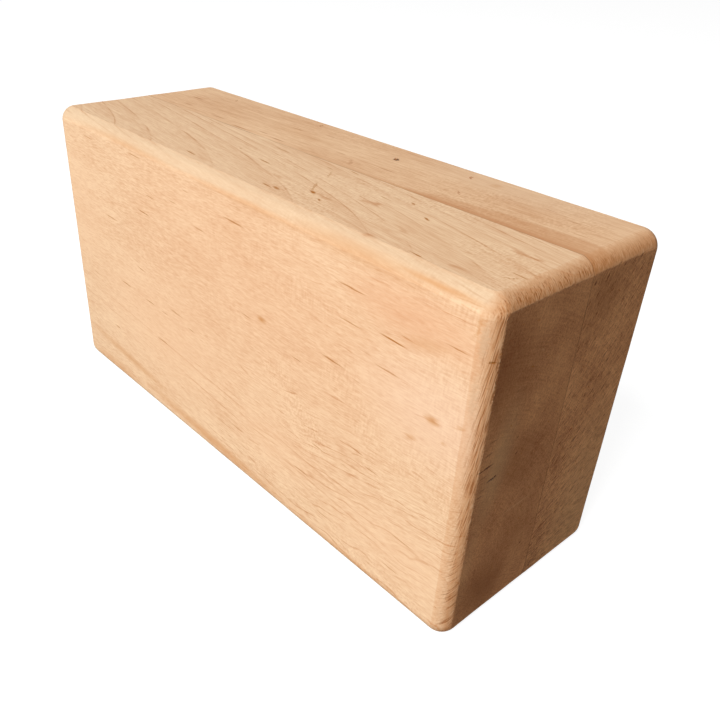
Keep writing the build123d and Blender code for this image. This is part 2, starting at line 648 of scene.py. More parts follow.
print("a mark's rim strays by about", USUAL_SWING * FRAY_REACH[0], "mm along the grain")

# %% [markdown]
# ## Small marks in groups
# The renderer has room for only so many values at once in one material. A large mark with its own
# shape takes three of them, so dozens of small ones can't be made that way. They come in groups of
# one shape that differ only in place, size and strength: the shape is worked out once, and each mark
# then takes a single value.

# %% Small marks
DASH_CORE = 0.3


def dashes(tree, space, groups):
    """The strongest of the small marks: a group is half sizes, a turn, and places with sizes."""
    frayed = frayed_space(tree, space)
    strongest = 0.0
    for half_sizes, turn, group in groups:
        turning = Euler([math.radians(angle) for angle in turn])
        shape = add(tree, "ShaderNodeMapping", {
            "Vector": frayed, "Rotation": turning, "Scale": half_sizes}, vector_type="TEXTURE")
        for place, size, strength in group:
            centre = turning.to_matrix().transposed() @ Vector(place)
            centre = [side / half for side, half in zip(centre, half_sizes)]
            off = add(tree, "ShaderNodeVectorMath", {
                0: shape, 1: centre}, operation="DISTANCE").outputs["Value"]
            mark = add(tree, "ShaderNodeMapRange", {
                "Value": off, "From Min": DASH_CORE * size, "From Max": size,
                "To Min": strength, "To Max": 0.0}, **SOFT)
            strongest = add(tree, "ShaderNodeMath", {0: mark, 1: strongest}, operation="MAXIMUM")
    return strongest.outputs[0]


print("a small mark is solid over", DASH_CORE, "of its size")

# %% [markdown]
# ## Where the marks are
# On a face a mark needs only two numbers for its place, so three short helpers add the third: the
# front face, the top or the right-hand end. All places and sizes are in millimetres.

# %% Marks on a face
FRONT, TOP, RIGHT = brick_low.y / MM, brick_high.z / MM, brick_high.x / MM


def on_front(*marks):
    """Marks on the front face, each given as x, z, size and strength."""
    return [((x, FRONT, z), size, strength) for x, z, size, strength in marks]


def on_top(*marks):
    """Marks on the top, each given as x, y, size and strength."""
    return [((x, y, TOP), size, strength) for x, y, size, strength in marks]


def on_end(*marks):
    """Marks on the right-hand end, each given as y, z, size and strength."""
    return [((RIGHT, y, z), size, strength) for y, z, size, strength in marks]


print("front at y", round(FRONT, 2), "top at z", round(TOP, 2), "right end at x", round(RIGHT, 2))

# %% [markdown]
# ## The front board's dashes
# The front board has most of the dashes: long thin ones along the front, wider ones on the top, where
# a few lie askew, and the nick's dark floor, which is partly torn fibres and partly painted shade in the
# hollow.

# %% Dashes of the front board
front_board_dashes = [
    ((5.0, 1.0, 0.26), (0, 1.5, 0), on_front(
        (10.0, 105.3, 1.5, 0.8), (-49.2, 91.0, 1.2, 0.8), (-52.5, 111.8, 1.1, 0.65),
        (-26.7, 101.3, 0.8, 0.7), (-10.0, 96.3, 1.0, 0.6), (-43.0, 98.7, 0.8, 0.65),
        (66.7, 103.3, 1.5, 0.75), (83.3, 94.2, 1.3, 0.95), (66.7, 92.5, 1.2, 0.6),
        (105.0, 101.3, 0.9, 0.75), (60.0, 76.7, 1.4, 0.8), (44.0, 69.3, 0.8, 0.8),
        (82.5, 84.0, 1.3, 0.6), (-75.8, 80.8, 1.2, 0.7), (-50.0, 52.7, 1.0, 0.9),
        (-39.0, 52.2, 0.8, 0.6), (-69.0, 53.7, 1.2, 0.7), (-81.7, 27.8, 0.8, 0.95),
        (-41.7, 38.0, 1.2, 0.7), (-30.0, 55.8, 1.5, 0.5), (8.3, 23.0, 1.2, 0.65),
        (47.5, 26.0, 1.1, 0.65), (80.0, 46.7, 0.8, 0.8), (72.5, 50.3, 0.8, 0.75),
        (59.0, 14.2, 1.0, 0.6), (55.0, 41.0, 0.9, 0.6), (95.0, 28.5, 1.2, 0.6),
        (91.0, 14.5, 1.0, 0.6))),
    ((5.0, 0.5, 1.0), (0, 0, -6), on_top(
        (-2.5, -16.4, 1.1, 0.8), (-25.8, -31.3, 1.0, 0.8), (17.5, -31.3, 0.8, 0.8),
        (84.0, -34.0, 0.7, 0.9), (108.5, -23.0, 0.7, 0.8), (49.0, -9.4, 0.9, 0.5),
        (-10.8, -2.6, 1.3, 0.45), (24.0, 0.4, 0.8, 0.8))),
    ((5.0, 0.45, 1.0), (0, 0, -55), on_top((27.3, -20.0, 1.2, 0.55), (20.8, -7.6, 0.9, 0.5))),
    ((3.0, 0.32, 1.0), (0, 0, 42), on_top((107.8, -26.0, 1.0, 0.7))),
    ((2.0, 0.75, 1.0), (0, 0, -22), on_top(
        (31.2, -23.8, 1.1, 1.0), (37.5, -26.9, 0.8, 0.9), (67.8, -12.3, 0.9, 1.0),
        (56.7, -5.9, 0.8, 0.8))),
    # The nick's floor and two small marks beside it. The nick's brown is partly painted shade in the
    # hollow.
    ((2.0, 1.0, 0.42), (0, 4, 58), [
        ((114.6, -37.0, 100.8), 1.25, 0.65), ((114.8, -35.2, 103.0), 0.6, 0.7),
        ((114.4, -36.4, 78.8), 0.6, 0.6)]),
]
print("groups of dashes on the front board:", len(front_board_dashes))

# %% [markdown]
# ## Ticks in the front board's end
# The end has two gouges with dark floors, a row of fainter cuts above and below them, and a few short
# cracks. The dark on the gouge floors and in the nick is partly painted shade in the hollows, which are
# too small for their own shade to show. The same groups serve, only deeper along the grain, so that they
# reach the sanded end.

# %% Ticks in the front board's end
front_end_ticks_and_hollow_shade = [
    # The first two ticks are the gouge floors. They are partly torn fibres and partly painted shade in
    # the hollows.
    ((3.0, 2.2, 0.4), (4, 0, 0), on_end(
        (-28.6, 60.7, 1.3, 1.0), (-31.6, 66.3, 1.3, 0.85), (-34.4, 66.0, 0.8, 0.8),
        (-33.0, 56.5, 0.9, 0.4), (-31.8, 58.6, 1.0, 0.35), (-32.0, 70.8, 1.1, 0.4),
        (-31.2, 74.8, 1.1, 0.35), (-32.6, 63.3, 0.9, 0.35))),
    ((3.0, 0.8, 0.4), (35, 0, 0), on_end(
        (-18.6, 65.0, 1.0, 0.8), (-5.0, 22.5, 1.0, 0.8), (-19.5, 71.0, 1.0, 0.5),
        (-12.0, 80.5, 0.9, 0.4), (-24.0, 88.0, 0.8, 0.4), (-27.3, 61.0, 1.1, 1.0))),
    ((3.0, 0.35, 2.4), (-5, 0, 0), on_end((1.2, 5.0, 1.0, 0.6))),
    # The nick's floor again, which is partly painted shade in the hollow.
    ((2.0, 1.0, 0.42), (0, 4, 58), [((114.6, -37.0, 100.8), 1.25, 0.65)]),
]
print("groups of ticks in the front board's end:", len(front_end_ticks_and_hollow_shade))

# %% [markdown]
# ## The front board's larger marks
# Next come the brown blotches and the streak along the lower front edge, which is partly painted
# shade. Then come broad weak patches of rosy, pale and warm wood, with a thin painted highlight where
# the front meets the round at the right-hand end. The greyer, whiter tint on the rounds along the top
# and at the end is painted highlight, where the lit rounds look palest. Vertex colours could hold such
# patches, but the flat faces have hardly any vertices.

# %% Large marks of the front board
front_board_blotches_and_shade = [
    ((25.0, FRONT, 76.0), (3.4, 2.0, 1.8), (0, 0, 0), 0.8),
    ((100.0, FRONT, 77.0), (3.8, 2.0, 2.1), (0, 0, 0), 0.8),
    ((93.3, FRONT, 67.5), (3.0, 2.0, 1.8), (0, -20, 0), 0.4),
    ((105.0, FRONT, 72.0), (1.8, 2.0, 1.0), (0, 0, 0), 0.4),
    ((95.0, FRONT, 97.8), (14.0, 2.0, 3.4), (0, -14, 0), 0.3),
    ((110.6, FRONT, 111.3), (1.5, 3.0, 1.8), (0, 0, 0), 0.5),
    ((109.8, -39.0, 108.6), (0.9, 2.0, 3.4), (0, 12, 0), 0.45),
    ((-74.0, FRONT, 15.6), (48.0, 3.0, 3.2), (0, 4.8, 0), 0.46),
    # This mark, the next one and the one at x -85 darken the lower front edge. They are partly painted
    # shade, where the bottom round turns down away from the lamp.
    ((-10.0, FRONT, 7.0), (70.0, 4.0, 4.0), (0, 2.5, 0), 0.55),
    ((75.0, FRONT, 4.0), (60.0, 4.0, 3.0), (0, 1, 0), 0.45),
    ((96.0, -38.5, 115.2), (26.0, 1.8, 1.6), (0, 0.5, 0), 0.6),
    ((109.6, FRONT, 79.6), (2.8, 2.0, 1.0), (0, -22, 0), 0.45),
    ((20.0, FRONT, 113.5), (60.0, 3.0, 1.8), (0, 0.5, 0), 0.35),
    ((68.0, -38.6, 114.0), (44.0, 3.0, 4.5), (0, 0, 0), 0.4),
    ((-85.0, FRONT, 5.0), (35.0, 4.0, 6.0), (0, 0, 0), 0.4),
    ((98.0, -18.0, TOP), (55.0, 20.0, 6.0), (0, 0, 0), 0.11),
    ((-60.0, FRONT, 114.5), (50.0, 3.0, 2.0), (0, 1, 0), 0.3),
]
front_board_rosy = [((102.0, FRONT, 79.0), (42.0, 6.0, 27.0), (0, 0, 0), 0.42)]
front_board_pale_and_arris_highlight = [
    # This thin line down the front, where it meets the round at the right-hand end, is painted
    # highlight.
    ((109.3, FRONT, 46.0), (0.6, 0.8, 62.0), (0, 0, 0), 0.2),
    ((95.0, FRONT, 22.0), (60.0, 6.0, 26.0), (0, 0, 0), 0.5),
    ((-104.0, FRONT, 74.0), (40.0, 6.0, 55.0), (0, 0, 0), 0.4),
    ((30.0, FRONT, 28.0), (50.0, 6.0, 22.0), (0, 0, 0), 0.4),
    ((-50.0, FRONT, 40.0), (95.0, 6.0, 44.0), (0, 3, 0), 0.5),
]
painted_round_highlight = [
    # Painted highlight: a greyer, whiter tint along the lit top front round and down the round at the
    # end.
    ((0.0, -37.6, 116.4), (360.0, 4.8, 2.8), (45, 0, 0), 0.56),
    ((112.0, -38.4, 106.0), (1.8, 1.8, 7.0), (0, 0, 0), 0.4),
    ((111.6, -38.6, 90.0), (1.4, 1.4, 9.0), (0, 0, 0), 0.28),
]
front_board_warm = [
    ((20.0, FRONT, 85.0), (170.0, 8.0, 80.0), (0, 0, 0), 0.32),
    ((90.0, FRONT, 104.0), (55.0, 6.0, 18.0), (0, 0, 0), 0.55),
]
print("large marks on the front board:", len(front_board_blotches_and_shade))

# %% [markdown]
# ## Patches on the front board's end
# The end has patches as well: pale scratches, a greyish stripe beside the front edge and darker
# patches, most of them nearer the front edge. They are large marks again, and show on the flat end only.

# %% Patches on the front board's end
end_scratches = [
    ((RIGHT, -12.0, 42.7), (3.0, 9.5, 0.4), (2, 0, 0), 0.6),
    ((RIGHT, -16.0, 97.7), (3.0, 1.2, 0.4), (-30, 0, 0), 0.5),
    ((RIGHT, -7.4, 92.0), (3.0, 0.4, 1.2), (-20, 0, 0), 0.5),
]
end_grey = [
    ((RIGHT, -27.0, 64.0), (3.0, 8.5, 30.0), (-10, 0, 0), 0.42),
    ((RIGHT, -32.5, 36.0), (3.0, 5.0, 32.0), (-5, 0, 0), 0.16),
]
end_shade = [
    ((RIGHT, -36.0, 95.0), (8.0, 26.0, 30.0), (0, 0, 0), 0.6),
    ((RIGHT, -22.0, 14.0), (8.0, 16.0, 18.0), (0, 0, 0), 0.7),
    ((RIGHT, -18.0, 62.0), (8.0, 14.0, 20.0), (20, 0, 0), 0.4),
    ((RIGHT, -9.0, 28.0), (8.0, 14.0, 26.0), (0, 0, 0), 0.3),
]
print("patches on the front board's end:", len(end_scratches) + len(end_grey) + len(end_shade))

# %% [markdown]
# ## The rear board's marks
# The rear board shows only its top and its end. It has an empty pin knot, ticks that slant along the
# rays, reddish dashes beside the glue line and, towards the right, the dense wedge. They use the same
# two kinds of table, so the two boards can share one material recipe.

# %% The rear board's marks
rear_board_dashes = [
    ((5.0, 0.5, 1.0), (0, 0, 0), on_top(
        (-87.0, 7.5, 1.0, 0.45), (-62.0, 5.6, 1.2, 0.4), (-33.0, 6.0, 1.0, 0.5), (-22.0, 4.4, 1.2, 0.55),
        (-44.0, 3.0, 1.4, 0.5), (5.0, 12.0, 0.8, 0.4), (28.0, 11.5, 1.2, 0.4), (-30.0, 20.5, 1.0, 0.4),
        (-14.0, 24.0, 0.8, 0.4), (85.0, 24.0, 0.7, 0.45), (95.0, 21.0, 0.7, 0.45))),
    ((2.0, 0.75, 1.0), (0, 0, -55), on_top(
        (-28.3, 31.6, 0.9, 0.8), (50.3, 28.9, 1.0, 0.75), (-81.7, 28.6, 1.0, 0.5),
        (58.0, 13.6, 0.9, 0.7), (15.0, 7.0, 1.1, 0.42), (13.2, 8.8, 0.8, 0.36))),
]
rear_end_ticks = [
    ((3.0, 1.7, 0.38), (45, 0, 0), on_end(
        (14.0, 55.0, 1.1, 0.7), (19.5, 83.5, 1.1, 0.6), (22.0, 80.6, 0.9, 0.5), (15.6, 57.8, 0.9, 0.5),
        (24.0, 70.0, 0.9, 0.5), (33.0, 65.5, 1.0, 0.7), (9.0, 22.0, 0.9, 0.5), (6.0, 27.5, 0.8, 0.5),
        (12.0, 36.0, 0.8, 0.4), (18.0, 44.0, 0.9, 0.35), (4.5, 60.0, 0.9, 0.4))),
    ((3.0, 0.4, 1.0), (-10, 0, 0), on_end((3.6, 111.0, 1.0, 0.7))),
]
rear_board_blotches = [
    ((60.8, 29.0, TOP), (3.6, 3.0, 3.0), (0, 0, 0), 0.35),
    ((-24.0, 17.5, TOP), (26.0, 8.0, 8.0), (0, 0, 0), 0.15),
    ((-38.0, 3.6, TOP), (20.0, 1.0, 1.0), (0, 0, 2), 0.3),
    ((45.0, 2.4, TOP), (26.0, 0.8, 1.0), (0, 0, 0), 0.3),
]
# The rear end is painted paler low down, partly the rear board's own paler end grain and partly painted
# light, and darker near the top, which is painted shade.
rear_end_pale_and_painted_light = [((RIGHT, 30.0, 18.0), (8.0, 30.0, 70.0), (0, 0, 0), 0.42)]
rear_end_painted_shade = [((RIGHT, 10.0, 106.0), (8.0, 18.0, 18.0), (0, 0, 0), 0.45)]
rear_board_pale = [((70.0, 30.0, TOP), (60.0, 14.0, 20.0), (0, 0, 0), 0.4)]
dense_wedge = [((112.0, 1.75, TOP), (70.0, 10.2, 60.0), (0, 0, 0), 0.42)]
glue_side = [((90.0, 1.75, TOP), (120.0, 3.6, 40.0), (0, 0, 0), 0.5)]
# The pin knot's dark spot is partly its own dark rim and partly painted shade in its hole.
pin_knot_and_hole_shade = [((21.2, 23.2, TOP), (1.8, 1.15, 1.8), (0, 0, -50), 1.0)]
print("groups of dashes on the rear board:", len(rear_board_dashes))
print("large marks on the rear board:", len(rear_board_blotches))

# %% [markdown]
# ## Where end grain shows
# Across the ends the fibres stand up like drinking straws. They swallow light, so the flat ends are
# much browner than the sides. The rounds beside them were cut cleaner and keep most of the side's
# colour as far as the arris, where torn fibres make the border ragged. The way that the surface faces
# would be enough for a clean border. A noise added to the distance from the arris makes it ragged.

# %% Shares of cut fibre
ROUND_LEFT = ROUND_OVER - FACE_SANDING
ARRIS_INSET = (ROUND_LEFT - math.sqrt(ROUND_OVER ** 2 - ROUND_LEFT ** 2)) / MM
RAGGED_SIZE = (6, 0.8, 0.8)
RAGGED_MM = 1.8


def end_shares(tree, space):
    """How far the surface shows cut fibres: on the flat end, and on the rounds beside it."""
    reach = []
    for side, axis in (("y", 1), ("z", 2)):
        off = add(tree, "ShaderNodeMath", {
            0: space[side], 1: brick_centre[axis] / MM}, operation="SUBTRACT")
        off = add(tree, "ShaderNodeMath", {0: off}, operation="ABSOLUTE")
        half = brick_size[axis] / 2 / MM - ARRIS_INSET
        reach.append(add(tree, "ShaderNodeMath", {0: off, 1: half}, operation="SUBTRACT"))
    beyond = add(tree, "ShaderNodeMath", {0: reach[0], 1: reach[1]}, operation="MAXIMUM")
    ragged = weighed(tree, beyond, ((streaks(tree, space["mm"], RAGGED_SIZE, 2.0), RAGGED_MM),))
    flat = add(tree, "ShaderNodeMapRange", {
        "Value": ragged, "From Min": -0.3, "From Max": 0.3, "To Min": 1.0, "To Max": 0.0}, **SOFT)
    steep = add(tree, "ShaderNodeMapRange", {
        "Value": space["endwise"], "From Min": 0.75, "From Max": 0.95})
    flat = add(tree, "ShaderNodeMath", {0: flat, 1: steep}, operation="MULTIPLY")
    turning = add(tree, "ShaderNodeMapRange", {
        "Value": space["endwise"], "From Min": 0.05, "From Max": 0.22})
    turned = add(tree, "ShaderNodeMapRange", {
        "Value": space["endwise"], "From Min": 0.58, "From Max": 0.78})
    upright = weighed(tree, 0.0, ((turning, 0.28), (turned, 0.44)))
    over_top = add(tree, "ShaderNodeMapRange", {
        "Value": space["endwise"], "From Min": 0.16, "From Max": 0.84,
        "To Min": 0.0, "To Max": 0.84})
    above = add(tree, "ShaderNodeMapRange", {
        "Value": space["upward"], "From Min": 0.2, "From Max": 0.4})
    rounds = add(tree, "ShaderNodeMix", {0: above, 2: upright, 3: over_top})
    return flat.outputs[0], rounds.outputs[0]


print("the arris lies", round(ARRIS_INSET, 2), "mm inside the brick's outline")

# %% [markdown]
# ## Pores, rays and cracks
# The end of a board is a section through the tree: open pores, rays that run out from the pith, rings
# and short cracks along the rays, more of them low down. The same streaks do it, only short along the
# grain now. A picture of end grain would be quicker, but its rays would not run out from this pith.

# %% Texture of the ends
# The vessels of alder are under a tenth of a millimetre wide. They are drawn several times coarser,
# because at their true size they would not show.
PORE_SIZE = (4.0, 0.5, 0.5)
END_RAY_SIZE = (5.0, 3.2, 0.4)
END_RING_SIZE = (5.0, 0.7, 12.0)
END_CLOUD_SIZE = (30, 12, 18)
END_CLOUD_TONE = 0.8
CRACK_SIZE = (4.0, 2.6, 0.34)
CRACK_SOFTNESS = 0.12


def end_texture(tree, space, board):
    """How dark the end grain is at each place."""
    closed = add(tree, "ShaderNodeMapRange", {
        "Value": space["z"], "From Min": 20.0, "From Max": 90.0, "To Min": 0.05, "To Max": 0.14})
    open_wide = add(tree, "ShaderNodeMath", {0: closed, 1: CRACK_SOFTNESS}, operation="ADD")
    cracks = add(tree, "ShaderNodeMapRange", {
        "Value": streaks(tree, space["polar"], CRACK_SIZE, 1.0),
        "From Min": closed, "From Max": open_wide})
    return weighed(tree, board["end_tone"], (
        (streaks(tree, space["mm"], PORE_SIZE, 3.0), board["pore_tone"]),
        (streaks(tree, space["polar"], END_RAY_SIZE, 2.0), board["end_ray_tone"]),
        (streaks(tree, space["polar"], END_RING_SIZE, 2.0), board["end_ring_tone"]),
        (streaks(tree, space["mm"], END_CLOUD_SIZE, 2.0), END_CLOUD_TONE),
        (cracks, board["crack_tone"]),
    ))


print("pores are drawn", PORE_SIZE[1], "mm wide")

# %% [markdown]
# ## Torn strands
# Where a round turns across the grain, the sander lifted small strands: along the upright edges,
# slanting near their foot, and down over the top one. Hair could stand for them, but they lie flat.
# A streaky noise that is both colour and height is enough.

# %% Torn strands on the rounds
UPRIGHT_SIZE = (0.3, 0.3, 6.5)
UPRIGHT_DRIFT = (-0.1, -0.1, 0.0)
HATCH_SIZE = (4.0, 5.0, 0.32)
HATCH_TURN = math.radians(-52)
DOWN_SIZE = (1.4, 0.4, 1.8)


def torn_strands(tree, space):
    """A value that swings about zero on the rounds beside the ends: gaps above it, ridges below."""
    drifting = add(tree, "ShaderNodeVectorMath", {
        0: space["z"], 1: UPRIGHT_DRIFT, 2: space["mm"]}, operation="MULTIPLY_ADD")
    along_edge = streaks(tree, drifting.outputs[0], UPRIGHT_SIZE, 1.0)
    crossing = add(tree, "ShaderNodeMapping", {
        "Vector": space["mm"], "Rotation": (HATCH_TURN, 0, 0)})
    hatching = streaks(tree, crossing.outputs[0], HATCH_SIZE, 1.0)
    low_down = add(tree, "ShaderNodeMapRange", {
        "Value": space["z"], "From Min": 26.0, "From Max": 50.0, "To Min": 0.8, "To Max": 0.0})
    along_edge = add(tree, "ShaderNodeMix", {0: low_down, 2: along_edge, 3: hatching})
    down_round = streaks(tree, space["mm"], DOWN_SIZE, 3.0)
    above = add(tree, "ShaderNodeMapRange", {
        "Value": space["upward"], "From Min": 0.2, "From Max": 0.4})
    strands = add(tree, "ShaderNodeMix", {0: above, 2: along_edge, 3: down_round})
    begun = add(tree, "ShaderNodeMath", {0: low_down, 1: -0.35, 2: 0.4}, operation="MULTIPLY_ADD")
    coming = add(tree, "ShaderNodeMapRange", {
        "Value": space["endwise"], "From Min": begun, "From Max": 0.76})
    going = add(tree, "ShaderNodeMapRange", {
        "Value": space["endwise"], "From Min": 0.97, "From Max": 0.99, "To Min": 1.0, "To Max": 0.0})
    strands = add(tree, "ShaderNodeMath", {0: strands, 1: coming}, operation="MULTIPLY")
    return add(tree, "ShaderNodeMath", {0: strands, 1: going}, operation="MULTIPLY")


print("upright strands are", UPRIGHT_SIZE[2], "mm long and", UPRIGHT_SIZE[0], "mm thick")

# %% [markdown]
# ## Colour of the sides
# The tone picks the long-grain colour between pale and deep tan, and the board's patches are laid
# over it one after the other. A Color Ramp could hold more than two colours, but a plain mix keeps
# the order of the layers easy to follow.

# %% Long grain
MIX_FACTOR, MIX_UNDER, MIX_OVER, MIX_RESULT = 0, 6, 7, 2


def lay_over(tree, under, over, factor):
    """Mixes a colour over another."""
    mix = add(tree, "ShaderNodeMix", {
        MIX_FACTOR: factor, MIX_UNDER: under, MIX_OVER: over}, data_type="RGBA")
    return mix.outputs[MIX_RESULT]


def long_grain(tree, space, board):
    """The colour of the sides, with the board's patches."""
    side_tone = tone(tree, space, board)
    colour = lay_over(tree, linear(board["pale"]), linear(board["deep"]), side_tone.outputs[0])
    for table, tint, soft in board["patches"]:
        colour = lay_over(tree, colour, linear(tint), blotches(tree, space, table, soft))
    return colour


print("a mix lays input", MIX_OVER, "over input", MIX_UNDER)

# %% [markdown]
# ## Colour of the ends
# The end grain takes over where the surface turns across the fibres. First the rounds grow browner,
# then the torn strands get dark gaps and pale ridges, and last the flat end covers all of it with its
# own texture, patches and ticks. A second material on the end faces would stop at a straight border.

# %% End grain
TORN_GAP = "#9A5826"
# The dark of the ticks and cracks. On the floors of the gouges and the nick it is partly painted shade
# in the hollows.
TICK_AND_HOLLOW_SHADE = "#421A06"


def end_grain(tree, space, board, colour):
    """Lays the ends over the colour of the sides, and also returns what their relief needs."""
    texture = end_texture(tree, space, board)
    end_colour = lay_over(
        tree, linear(board["end_pale"]), linear(board["end_deep"]), texture.outputs[0])
    flat_end, round_end = end_shares(tree, space)
    colour = lay_over(tree, colour, linear(board["end_round"]), round_end)
    strands = torn_strands(tree, space)
    gaps = add(tree, "ShaderNodeMapRange", {
        "Value": strands, "From Min": 0.02, "From Max": 0.15,
        "To Min": 0.0, "To Max": board["torn_tone"]})
    colour = lay_over(tree, colour, linear(TORN_GAP), gaps.outputs[0])
    ridges = add(tree, "ShaderNodeMapRange", {
        "Value": strands, "From Min": -0.02, "From Max": -0.2, "To Min": 0.0, "To Max": 0.35})
    colour = lay_over(tree, colour, linear(board["pale"]), ridges.outputs[0])
    colour = lay_over(tree, colour, end_colour, flat_end)
    for table, tint, soft in board["end_patches"]:
        shown = add(tree, "ShaderNodeMath", {
            0: blotches(tree, space, table, soft), 1: flat_end}, operation="MULTIPLY")
        colour = lay_over(tree, colour, linear(tint), shown.outputs[0])
    colour = lay_over(tree, colour, linear(TICK_AND_HOLLOW_SHADE), dashes(tree, space, board["end_ticks"]))
    return colour, {"texture": texture, "flat": flat_end, "strands": strands}


print("gaps between torn strands:", TORN_GAP, "ticks:", TICK_AND_HOLLOW_SHADE)

# %% [markdown]
# ## Flecks and the glue line
# The scattered flecks and the larger dashes are one brown. The glue is a film with no thickness to
# speak of, so it is no piece of its own: a thin dark line follows the joint, stronger here and weaker
# there, as squeezed-out glue does, and clearer on the thirsty end grain.

# %% Flecks and glue
GLUE = "#7A4E2C"
GLUE_CORE_MM = 0.05
GLUE_RIM_MM = 0.3
GLUE_PATCH_SIZE = (18, 18, 12)
GLUE_ON_END = 0.25


def brown_flecks(tree, space, board, colour):
    """Lays the flecks and dashes over a colour, and also returns the flecks for the relief."""
    fleck = flecks(tree, space, board)
    brown = add(tree, "ShaderNodeMath", {
        0: fleck, 1: dashes(tree, space, board["dashes"])}, operation="MAXIMUM")
    brown = add(tree, "ShaderNodeMath", {0: brown, 1: board["fleck_depth"]}, operation="MULTIPLY")
    return lay_over(tree, colour, linear(board["fleck"]), brown.outputs[0]), fleck


def glue_line(tree, space, colour, flat_end):
    """Lays the dark line of the joint over a colour."""
    off_glue = add(tree, "ShaderNodeMath", {0: space["y"], 1: glue_y / MM}, operation="SUBTRACT")
    off_glue = add(tree, "ShaderNodeMath", {0: off_glue}, operation="ABSOLUTE")
    glue = add(tree, "ShaderNodeMapRange", {
        "Value": off_glue, "From Min": GLUE_CORE_MM, "From Max": GLUE_RIM_MM,
        "To Min": 1.0, "To Max": 0.0}, **SOFT)
    thick = add(tree, "ShaderNodeMapRange", {
        "Value": streaks(tree, space["mm"], GLUE_PATCH_SIZE, 2.0),
        "From Min": -0.2, "From Max": 0.2, "To Min": 0.08, "To Max": 0.6})
    thick = weighed(tree, thick, ((flat_end, GLUE_ON_END),))
    glue = add(tree, "ShaderNodeMath", {0: glue, 1: thick}, operation="MULTIPLY")
    return lay_over(tree, colour, linear(GLUE), glue.outputs[0])


print("the glue line is", 2 * GLUE_RIM_MM, "mm wide at its rim")

# %% [markdown]
# ## Sanded alder
# The two boards share one recipe with different numbers. Bare sanded wood has only a weak broad
# gloss, so the roughness is high and the specular level low, and the open ends are rougher still. The
# fibres and pores are too fine to model, so a Bump node gives them their height.

# %% The alder material
SURFACE_FIBRE_SIZE = (9, 0.5, 0.5)
SURFACE_FIBRE_HEIGHT = 0.06
FLECK_HEIGHT = -0.03
SIDE_ROUGHNESS = 0.6
END_ROUGHNESS = 0.8
SHEEN_LEVEL = 0.06


def relief(tree, space, board, ends, fleck):
    """The fine height of fibres, pores, flecks and strands, in millimetres."""
    end_height = add(tree, "ShaderNodeMath", {
        0: ends["texture"], 1: ends["flat"]}, operation="MULTIPLY")
    height = weighed(tree, 0.0, (
        (streaks(tree, space["bent"], SURFACE_FIBRE_SIZE, 2.0), SURFACE_FIBRE_HEIGHT),
        (end_height, board["end_relief"]),
        (fleck, FLECK_HEIGHT),
        (ends["strands"], board["torn_relief"]),
    ))
    return add(tree, "ShaderNodeBump", {"Height": height, "Distance": MM, "Strength": 1.0})


def sanded_alder(name, board):
    """Bare sanded alder for one board."""
    # Alder that was planed, rounded over and sanded, without oil or lacquer. To the eye it is a dull
    # pale tan with a hint of salmon, brown where the fibres are cut across, and hardly glossy at all.
    material = bpy.data.materials.new(name)
    material.use_nodes = True
    tree = material.node_tree
    tree.nodes.clear()
    space = grain_space(tree, board)
    colour = long_grain(tree, space, board)
    colour, ends = end_grain(tree, space, board, colour)
    colour, fleck = brown_flecks(tree, space, board, colour)
    colour = glue_line(tree, space, colour, ends["flat"])
    bump = relief(tree, space, board, ends, fleck)
    rough = add(tree, "ShaderNodeMapRange", {
        "Value": ends["flat"], "To Min": SIDE_ROUGHNESS, "To Max": END_ROUGHNESS})
    shader = add(tree, "ShaderNodeBsdfPrincipled", {
        "Base Color": colour, "Roughness": rough, "Normal": bump,
        "Specular IOR Level": SHEEN_LEVEL})
    add(tree, "ShaderNodeOutputMaterial", {"Surface": shader})
    print(name, "has", len(tree.nodes), "nodes")
    return material


print("roughness of sides and ends:", SIDE_ROUGHNESS, END_ROUGHNESS)

# %% [markdown]
# ## Numbers for the two boards
# The front board is paler, with bold rings on its top and a fan of grain at its right end. The rear
# board is redder, its rings are faint and its end is more cracked. Its numbers start as a copy of the
# front board's, so only what differs is written again. Lengths are in millimetres, and a tone is how
# much a layer darkens the wood.

